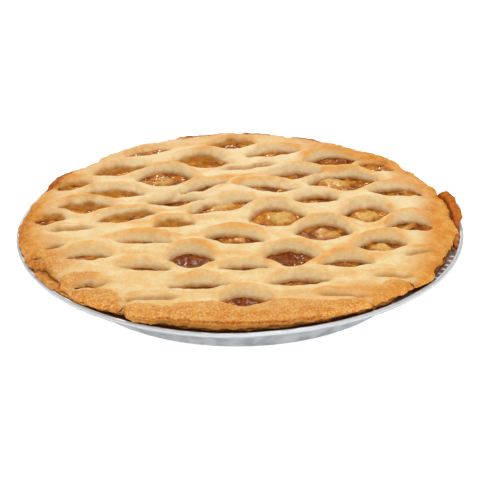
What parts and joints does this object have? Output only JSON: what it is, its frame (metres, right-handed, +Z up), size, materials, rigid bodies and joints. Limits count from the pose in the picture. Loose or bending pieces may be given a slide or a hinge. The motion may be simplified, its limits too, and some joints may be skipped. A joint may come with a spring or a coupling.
{
  "type": "lattice apple pie",
  "caption": "Round baked pie in a shallow foil tin, under a stretched lattice pastry lid whose lens-shaped openings show glossy filling and pale fruit.",
  "frame": {"origin": "middle of the flat underside of the tin's base, on the surface that it stands on", "axes": "+Z up through the pie, -Y towards the viewer of the picture, +X to the viewer's right"},
  "size_m": [0.246, 0.246, 0.0336],
  "materials": {
    "foil": "thin bright foil with soft pleats and a rolled edge",
    "under_pastry": "dry flaky pastry, browned darker at its edge",
    "filling": "wet caramel-brown fruit gel, glossy and slightly clear",
    "lid_pastry": "dry baked pastry, pale cream on the strands, golden on the crests and the rim",
    "apple": "soft cooked fruit, wet with gel"
  },
  "bodies": {
    "root": {"pie_tin": "foil", "bottom_crust": "under_pastry", "filling": "filling", "lattice_top": "lid_pastry", "apple_piece_1": "apple", "apple_piece_2": "apple", "apple_piece_3": "apple", "apple_piece_4": "apple", "apple_piece_5": "apple", "apple_piece_6": "apple", "apple_piece_7": "apple", "apple_piece_8": "apple", "apple_piece_9": "apple", "apple_piece_10": "apple"}
  },
  "joints": []
}
